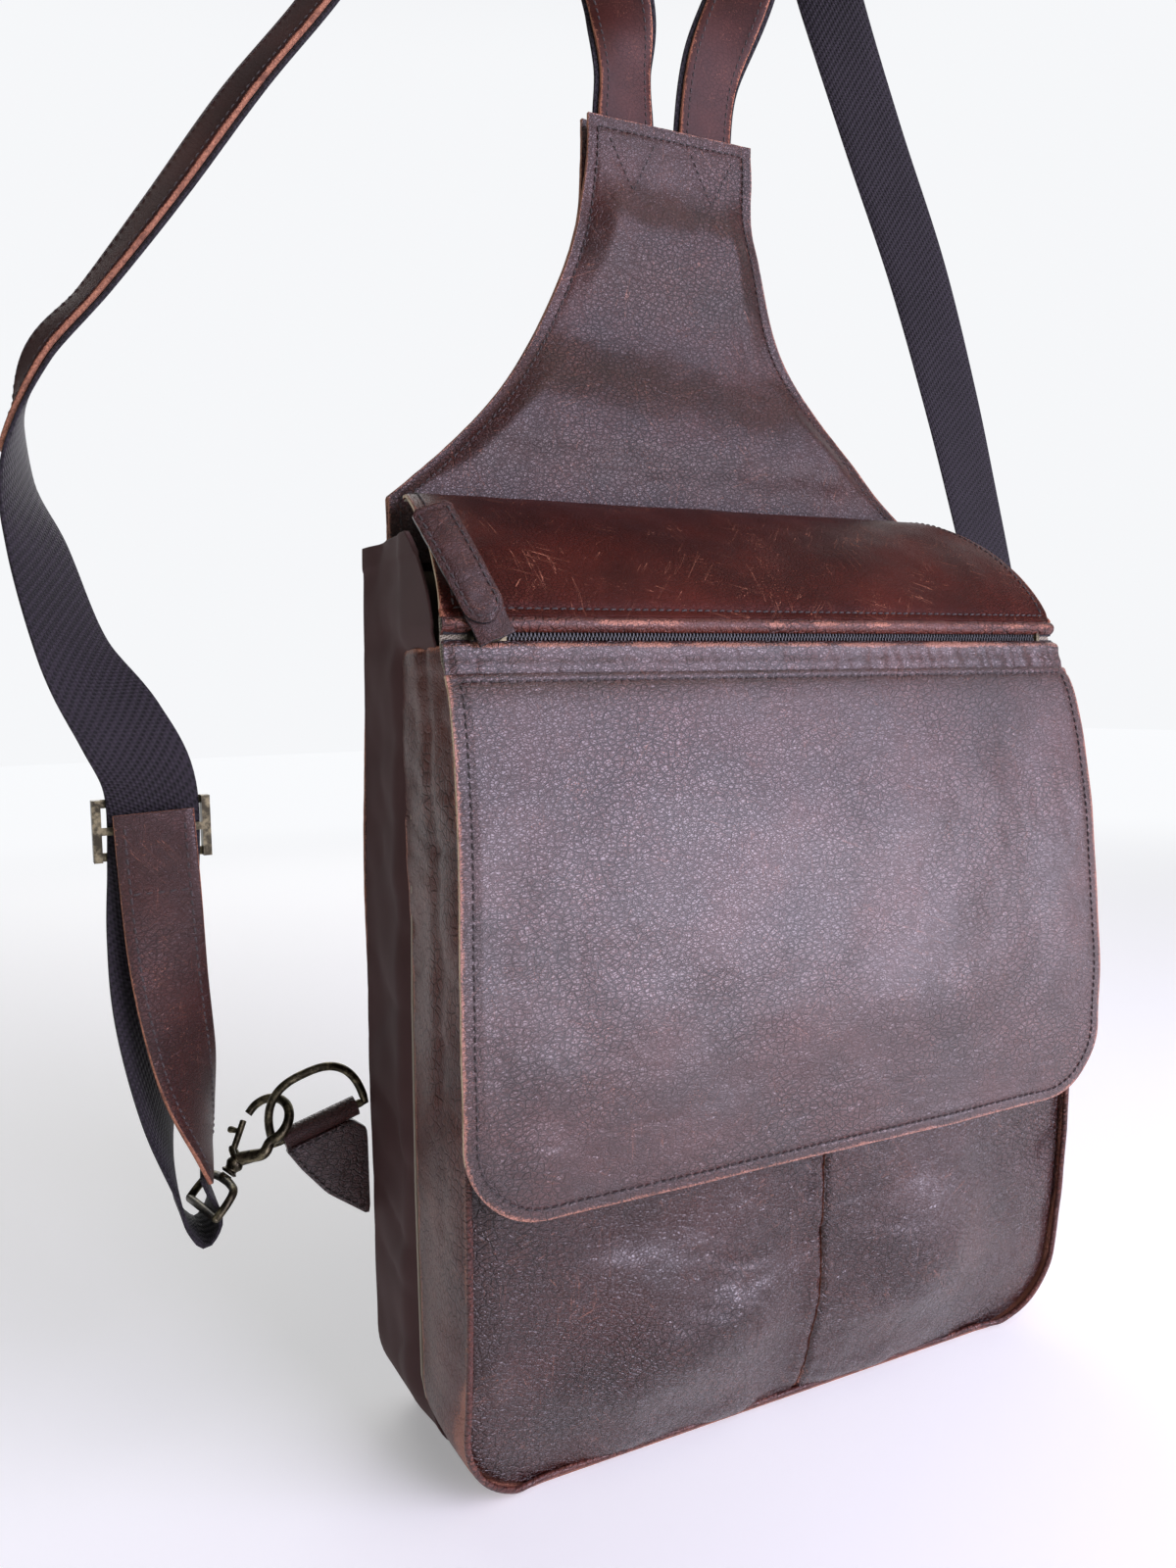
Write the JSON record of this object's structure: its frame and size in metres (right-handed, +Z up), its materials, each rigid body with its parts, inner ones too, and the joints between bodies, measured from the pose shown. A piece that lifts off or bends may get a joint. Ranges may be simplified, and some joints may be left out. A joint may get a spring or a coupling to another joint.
{
  "type": "leather backpack",
  "caption": "Flat leather backpack with a tapered yoke, a folding flap with a zip pocket, and webbing shoulder straps that clip on by snap hooks.",
  "frame": {"origin": "centre of the flat base between the sides, near the seam of the two compartments", "axes": "+Z up along the bag's height, +X to the right when facing the front, front faces -Y"},
  "size_m": [0.504, 0.1402, 0.6678],
  "materials": {
    "leather": "pebbled, worn, semi-gloss",
    "leather_red": "smooth, scuffed, glossy",
    "gusset_cloth": "matt coated cloth",
    "lining": "matt cotton twill",
    "webbing": "woven nylon",
    "foam": "matt padding",
    "board": "matt fibre board",
    "antique_brass": "dark antique finish",
    "steel": "plated",
    "zip": "black"
  },
  "bodies": {
    "bag": {"back_panel": "leather", "yoke_facing": "leather", "yoke_stiffener": "board", "back_foam": "foam", "back_lining": "lining", "rear_gusset": "gusset_cloth", "divider_panel": "leather", "front_gusset": "leather", "front_panel_left": "leather", "front_panel_right": "leather", "front_piping": "leather", "base_board": "board", "wing_left": "leather", "strap_leather_left": "leather", "strap_webbing_left": "webbing", "strap_end_leather_left": "leather", "hook_loop_left": "antique_brass", "magnet_plate_left": "steel", "wing_right": "leather", "strap_leather_right": "leather", "strap_webbing_right": "webbing", "strap_end_leather_right": "leather", "hook_loop_right": "antique_brass", "magnet_plate_right": "steel"},
    "flap_rear": {"flap_top_leather": "leather_red", "flap_top_lining": "lining"},
    "flap_front": {"flap_shoulder_leather": "leather_red", "zip_upper_lip": "leather", "zip_lower_band": "leather", "flap_front_leather": "leather", "flap_front_lining": "lining", "flap_pocket_bag": "gusset_cloth", "zip_tape_upper": "zip", "zip_tape_lower": "zip", "zip_teeth_upper": "zip", "zip_teeth_lower": "zip", "zip_stop_left": "zip", "zip_stop_right": "zip", "magnet_left": "steel", "magnet_right": "steel"},
    "slider": {"zip_slider": "antique_brass"},
    "pull_tab": {"zip_slider_ring": "antique_brass", "zip_pull_tab": "leather"},
    "ring_left": {"d_ring_left": "antique_brass"},
    "hook_left": {"hook_body_left": "antique_brass"},
    "gate_left": {"hook_gate_left": "antique_brass"},
    "adjuster_left": {"adjuster_left": "antique_brass"},
    "ring_right": {"d_ring_right": "antique_brass"},
    "hook_right": {"hook_body_right": "antique_brass"},
    "gate_right": {"hook_gate_right": "antique_brass"},
    "adjuster_right": {"adjuster_right": "antique_brass"}
  },
  "joints": [
    {"name": "flap_hinge", "type": "hinge", "parent": "bag", "child": "flap_rear", "pos_m": [0, 0.0345, 0.372], "axis": [-1, 0, 0], "range_deg": [0, 80]},
    {"name": "flap_fold", "type": "hinge", "parent": "flap_rear", "child": "flap_front", "pos_m": [0, -0.00543, 0.361], "axis": [-1, 0, 0], "range_deg": [0, 55]},
    {"name": "zip_slide", "type": "slide", "parent": "flap_front", "child": "slider", "axis": [1, 0, 0], "range_m": [0, 0.25]},
    {"name": "pull_tab_hinge", "type": "hinge", "parent": "slider", "child": "pull_tab", "pos_m": [-0.125, -0.05153, 0.313], "axis": [0.9399, 0.0006, 0.3415], "range_deg": [0, 150]},
    {"name": "ring_hinge_left", "type": "hinge", "parent": "bag", "child": "ring_left", "pos_m": [-0.1685, 0.0434, 0.1235], "axis": [0.9585, 0, 0.285], "range_deg": [-8, 8]},
    {"name": "hook_swivel_left", "type": "hinge", "parent": "bag", "child": "hook_left", "pos_m": [-0.2165, 0.034, 0.102], "axis": [0.6915, 0.1823, 0.699], "range_deg": [-12, 12]},
    {"name": "gate_hinge_left", "type": "hinge", "parent": "hook_left", "child": "gate_left", "pos_m": [-0.20289, 0.04196, 0.11937], "axis": [0.5216, 0.5433, -0.6578], "range_deg": [0, 18], "stiffness_Nm_per_rad": 0.01, "springref_deg": -17.19},
    {"name": "adjuster_slide_left", "type": "slide", "parent": "bag", "child": "adjuster_left", "axis": [0, 0, 1], "range_m": [0, 0.006]},
    {"name": "ring_hinge_right", "type": "hinge", "parent": "bag", "child": "ring_right", "pos_m": [0.1685, 0.0434, 0.1235], "axis": [0.9585, 0, -0.285], "range_deg": [0, 8]},
    {"name": "hook_swivel_right", "type": "hinge", "parent": "bag", "child": "hook_right", "pos_m": [0.2065, 0.038, 0.102], "axis": [-0.5228, 0.0949, 0.8471], "range_deg": [-4, 4]},
    {"name": "gate_hinge_right", "type": "hinge", "parent": "hook_right", "child": "gate_right", "pos_m": [0.19168, 0.03679, 0.12014], "axis": [-0.5975, 0.668, -0.4436], "range_deg": [0, 18], "stiffness_Nm_per_rad": 0.01, "springref_deg": -17.19},
    {"name": "adjuster_slide_right", "type": "slide", "parent": "bag", "child": "adjuster_right", "axis": [0, 0, 1], "range_m": [0, 0.006]}
  ]
}
